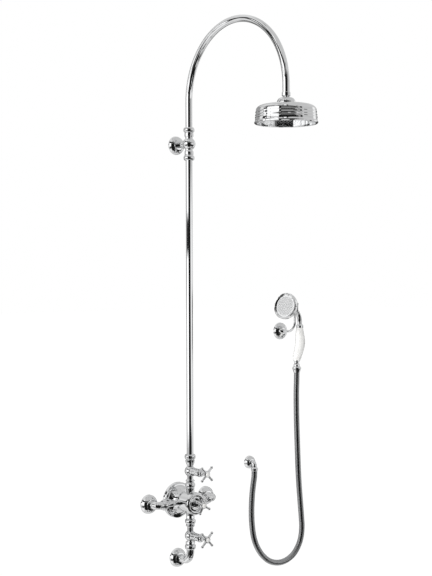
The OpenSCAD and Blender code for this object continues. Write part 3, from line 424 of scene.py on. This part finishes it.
# The room that the chrome mirrors, as panels on a grey ground. Each is its left and right edge and its
# lower and upper edge in degrees, how soft its edge is, and its brightness. Left and right count from
# straight behind the camera. Later panels lie over earlier ones. The heights of the second list are
# those of a flat wall that faces the object from WALL_SIDE, so that its rails run straight.
GROUND = 0.66
WALL_SIDE = -27
ROOM = [
    (-180, 180, 38, 91, 8, 0.62),  # ceiling
    (-180, -60, 38, 62, 8, 0.80),
    (-180, 180, -91, -28, 3, 0.72),  # floor
    (-110, -52, -60, -33, 4, 1.0),
    (-180, -120, -32, 26, 4, 0.36),  # far left
    (-180, -150, -16, 8, 4, 0.05),
    (-142, -128, -28, -10, 4, 0.08),
    (-120, -92, -34, 24, 2, 0.85),
    (-116, -104, -2, 8, 3, 0.06),
    (36, 62, 4, 24, 3, 0.36),  # right
    (62, 120, 4, 24, 3, 0.60),
    (36, 90, -8, 4, 2, 1.05),
    (118, 138, -20, 20, 3, 1.0),
    (150, 210, -36, 10, 4, 0.08),
    (-97, -30, -8, 25, 1, 1.5),  # window
    (-100, -96, -30, 38, 1, 0.03),  # its frame and bars
    (-84, -80.5, -30, 31, 0.5, 0.02),
    (-64.5, -62.5, -30, 16, 0.5, 0.03),
    (-64, -50, -28, -9, 1, 0.04),
    (-38, -30, -28, -9, 1, 0.03),
    (-72, -40, -34, -14, 2, 0.03),
    (-95, -30, 14, 15.5, 0.5, 0.03),
    (-95, -30, 0.8, 2.6, 0.5, 0.03),
    (-96, 4, 26, 41, 1, 0.010),  # rail over it
    (-31, 36, -60, 21.5, 1, 0.010),  # dark stretch behind the photographer
    (-31, -22, 20, 30, 1, 0.010),
    (-30, 62, -11, -7.6, 0.8, 0.010),
    (50, 88, -31, -11, 2, 0.010),
    (18, 92, -41, -30, 2, 0.010),
    (36, 43, -60, 21.5, 3, 0.14),
    (-22, 38, 21.5, 27, 1, 0.20),
    (-24, 6, 32, 38, 2, 0.16),
    (90, 124, -4, -1, 1, 0.02),
    (34, 60, -24, -9, 3, 0.08),
    (38, 76, -38, -24, 2, 0.01),
    (120, 130, -42, -30, 2, 0.03),
    (74, 82, -70, -50, 3, 0.12),
    (18, 32, -76, -68, 2, 0.04),
    (58, 86, -62, -49, 3, 0.02),  # legs of the stands
    (82, 114, -51, -37, 3, 0.02),
    (5, 76, -81, -70, 2, 0.02),
    (-78, -62, -81, -73, 2, 0.02),
    (-97, -70, 73, 80, 2, 0.02),
    (90, 106, -24, -12, 2, 0.05),
    (52, 60, 12, 24, 2, 0.05),
    (38, 48, 32, 37, 2, 0.04),
]
WALL = [
    (-104, -84, 24, 40, 1, 0.010),  # end of the rail
    (6, 42, 34, 46, 1, 0.10),
    (-12, 6, 32, 60, 2, 0.05),
    (-56, -42, 42, 56, 3, 1.3),  # lights over the rail
    (-15, -2, 42, 58, 3, 1.3),
    (-20, -15, 42, 60, 2, 0.03),
    (0, 6, 36, 62, 2, 0.02),
]

world = bpy.data.worlds.new("studio")
scene.world = world
world.use_nodes = True
tree = world.node_tree
tree.nodes.clear()
direction = add(tree, "ShaderNodeTexCoord")


def dot(vector):
    node = add(tree, "ShaderNodeVectorMath", operation="DOT_PRODUCT")
    tree.links.new(direction.outputs["Generated"], node.inputs[0])
    node.inputs[1].default_value = vector
    return node.outputs["Value"]


def calc(operation, a, b=None):
    node = add(tree, "ShaderNodeMath", operation=operation)
    for socket, value in zip(node.inputs, (a, b)):
        if value is None:
            continue
        if isinstance(value, (int, float)):
            socket.default_value = value
        else:
            tree.links.new(value, socket)
    return node.outputs[0]


behind = (-sin(VIEW_SIDE), -cos(VIEW_SIDE), 0)
right = (cos(VIEW_SIDE), -sin(VIEW_SIDE), 0)
side = calc("MULTIPLY", calc("ARCTAN2", dot(right), dot(behind)), 180 / pi)
height = calc("MULTIPLY", calc("ARCSINE", dot((0, 0, 1))), 180 / pi)

facing = radians(WALL_SIDE)
off_wall = tuple(b * cos(facing) + r * sin(facing) for b, r in zip(behind, right))
rise = calc("ARCTAN2", dot((0, 0, 1)), dot(off_wall))
rise = calc("MULTIPLY", rise, 180 / pi)

level = None
for up, panels in ((height, ROOM), (rise, WALL)):
    for left_edge, right_edge, low_edge, high_edge, soft, bright in panels:
        inside = None
        edges = ((side, left_edge, 1), (side, right_edge, -1), (up, low_edge, 1), (up, high_edge, -1))
        for value, edge, sign in edges:
            step = mapped(tree, value, 0, 1, edge - sign * soft / 2, edge + sign * soft / 2)
            inside = step if inside is None else calc("MULTIPLY", inside, step)
        mix = add(tree, "ShaderNodeMix", data_type="FLOAT")
        tree.links.new(inside, mix.inputs["Factor"])
        mix.inputs["A"].default_value = GROUND
        if level is not None:
            tree.links.new(level, mix.inputs["A"])
        mix.inputs["B"].default_value = bright
        level = mix.outputs["Result"]

seen = add(tree, "ShaderNodeBackground", Strength=1.0)
seen.inputs["Color"].default_value = (1, 1, 1, 1)
mirrored = add(tree, "ShaderNodeBackground")
mirrored.inputs["Color"].default_value = (1, 1, 1, 1)
tree.links.new(level, mirrored.inputs["Strength"])
soft_light = add(tree, "ShaderNodeBackground")
soft_light.inputs["Color"].default_value = (1, 1, 1, 1)
# The soft light falls off towards the right, as beside a window.
tree.links.new(mapped(tree, dot(right), 1.1, 0.2, -0.3, 0.8), soft_light.inputs["Strength"])
path = add(tree, "ShaderNodeLightPath")
for_gloss = add(tree, "ShaderNodeMixShader")
tree.links.new(path.outputs["Is Glossy Ray"], for_gloss.inputs["Fac"])
tree.links.new(soft_light.outputs[0], for_gloss.inputs[1])
tree.links.new(mirrored.outputs[0], for_gloss.inputs[2])
mix_for_camera(
    tree, for_gloss.outputs[0], seen.outputs[0], add(tree, "ShaderNodeOutputWorld").inputs["Surface"], 1.0
)


def lamp(name, at, size, power, target=(0.2, -0.2, 0.6)):
    data = bpy.data.lights.new(name, "AREA")
    data.shape = "RECTANGLE"
    data.size, data.size_y = size
    data.energy = power
    obj = bpy.data.objects.new(name, data)
    obj.location = at
    obj.rotation_euler = (Vector(target) - Vector(at)).to_track_quat("-Z", "Y").to_euler()
    obj.visible_glossy = False
    scene.collection.objects.link(obj)


lamp("window_light", (-3.2, -0.8, 1.6), (1.6, 2.6), 60)

scene.view_settings.view_transform = "Standard"
